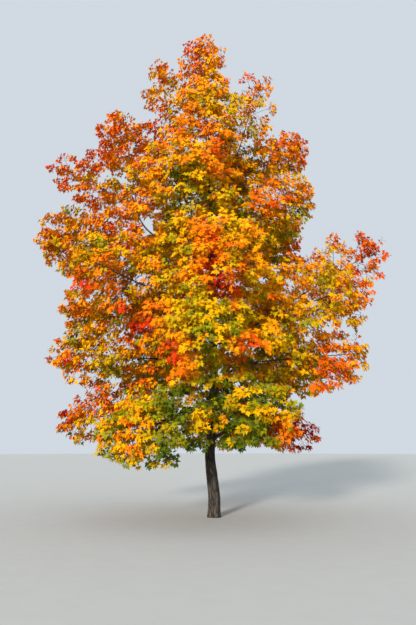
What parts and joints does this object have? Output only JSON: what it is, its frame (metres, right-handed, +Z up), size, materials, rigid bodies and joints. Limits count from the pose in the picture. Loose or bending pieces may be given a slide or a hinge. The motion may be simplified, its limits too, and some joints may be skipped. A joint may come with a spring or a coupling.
{
  "type": "maple tree",
  "caption": "Young maple tree in autumn leaf: one leaning trunk with a root flare, boughs all round it and a full crown of lobed leaves that narrows to a point.",
  "frame": {"origin": "middle of the flat cut at the foot of the trunk, at ground level", "axes": "+Z up along the trunk, +X to the right of the tree as the picture shows it, and the side that the picture shows faces -Y"},
  "size_m": [8.067, 6.9644, 11.3361],
  "materials": {
    "leaf_olive": "thin, dull to satin, olive green turning yellow",
    "leaf_gold": "thin, satin, golden yellow",
    "leaf_orange": "thin, satin, orange and amber",
    "leaf_scarlet": "thin, satin, scarlet and orange-red",
    "leaf_crimson": "thin, satin, deep crimson",
    "bark": "rough, matt, dark grey-brown"
  },
  "bodies": {
    "root": {"trunk": "bark", "bough_low_left": "bark", "bough_low_front_left": "bark", "bough_low_front_right": "bark", "bough_low_right": "bark", "bough_low_back": "bark", "bough_lower_left": "bark", "bough_lower_front": "bark", "bough_lower_right": "bark", "bough_lower_back_right": "bark", "bough_lower_back_left": "bark", "bough_middle_left": "bark", "bough_middle_front_left": "bark", "bough_middle_front": "bark", "bough_middle_front_right": "bark", "bough_middle_right": "bark", "bough_middle_back_right": "bark", "bough_middle_back_left": "bark", "bough_upper_left": "bark", "bough_upper_front": "bark", "bough_upper_right": "bark", "bough_upper_back_right": "bark", "bough_upper_back_left": "bark", "bough_high_arm": "bark", "bough_high_left": "bark", "bough_high_front": "bark", "bough_high_right": "bark", "bough_high_back": "bark", "bough_spire_left": "bark", "bough_spire_right": "bark", "foliage_low_left": "leaf_orange", "foliage_low_front_left": "leaf_olive", "foliage_low_front_right": "leaf_olive", "foliage_low_right": "leaf_crimson", "foliage_low_back": "leaf_olive", "foliage_lower_left": "leaf_gold", "foliage_lower_front": "leaf_gold", "foliage_lower_right": "leaf_orange", "foliage_lower_back_right": "leaf_gold", "foliage_lower_back_left": "leaf_gold", "foliage_middle_left": "leaf_orange", "foliage_middle_front_left": "leaf_gold", "foliage_middle_front": "leaf_orange", "foliage_middle_front_right": "leaf_gold", "foliage_middle_right": "leaf_orange", "foliage_middle_back_right": "leaf_gold", "foliage_middle_back_left": "leaf_orange", "foliage_upper_left": "leaf_orange", "foliage_upper_front": "leaf_gold", "foliage_upper_right": "leaf_gold", "foliage_upper_back_right": "leaf_orange", "foliage_upper_back_left": "leaf_orange", "foliage_high_arm": "leaf_scarlet", "foliage_high_left": "leaf_scarlet", "foliage_high_front": "leaf_orange", "foliage_high_right": "leaf_orange", "foliage_high_back": "leaf_orange", "foliage_spire_left": "leaf_orange", "foliage_spire_right": "leaf_orange", "foliage_top": "leaf_orange"}
  },
  "joints": []
}
